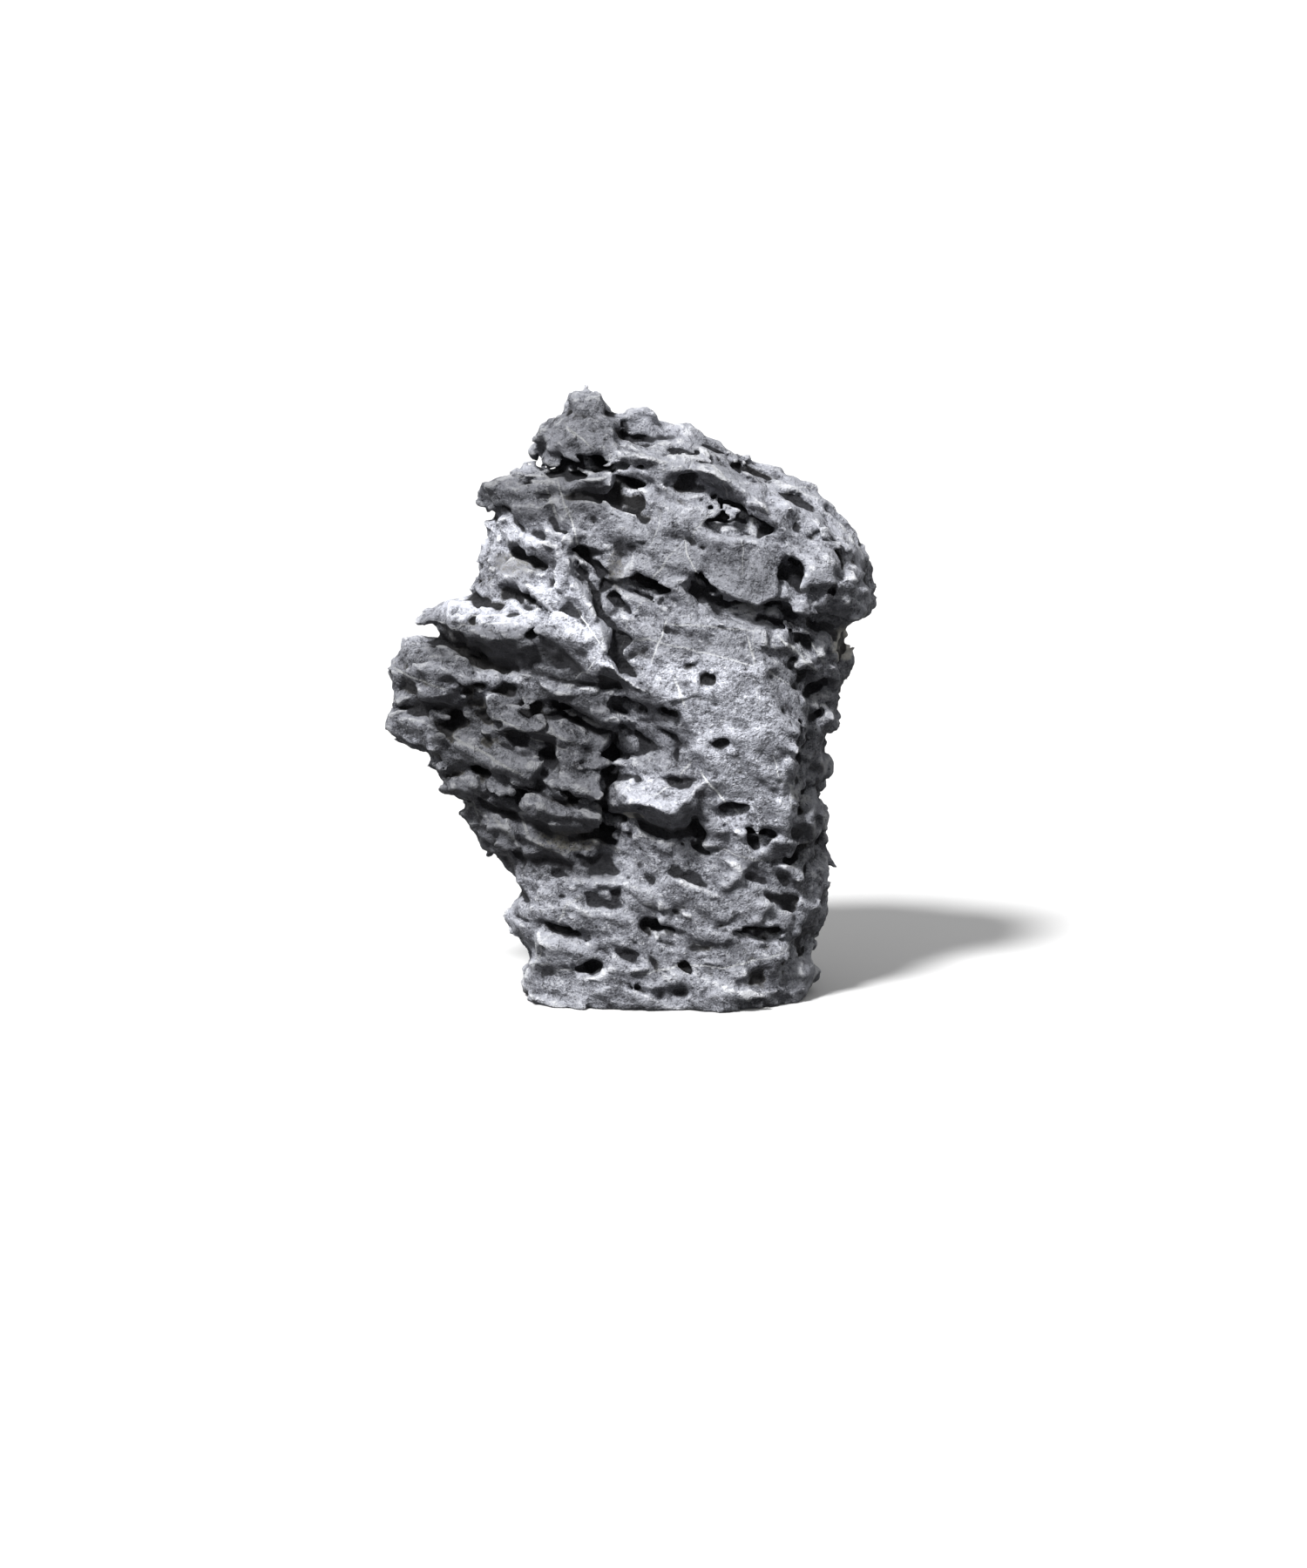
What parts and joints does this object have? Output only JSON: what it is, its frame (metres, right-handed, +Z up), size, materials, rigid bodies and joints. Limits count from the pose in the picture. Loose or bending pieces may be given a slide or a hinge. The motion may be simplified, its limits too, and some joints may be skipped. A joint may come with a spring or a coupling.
{
  "type": "seiryu stone",
  "caption": "Free-standing weathered limestone for aquascapes, broad above and narrower at its foot, with overhanging ledges, lobes, deep pits and pale veins.",
  "frame": {"origin": "middle of the stone's plan box at its flat foot, on the surface it rests on", "axes": "+Z up from foot to crown, -Y out of the front face, +X to the right seen from the front"},
  "size_m": [0.281, 0.168, 0.35],
  "materials": {
    "limestone": "rough weathered blue-grey stone with pale worn edges, thin white veins and dark recesses"
  },
  "bodies": {
    "root": {"seiryu_stone": "limestone"}
  },
  "joints": []
}
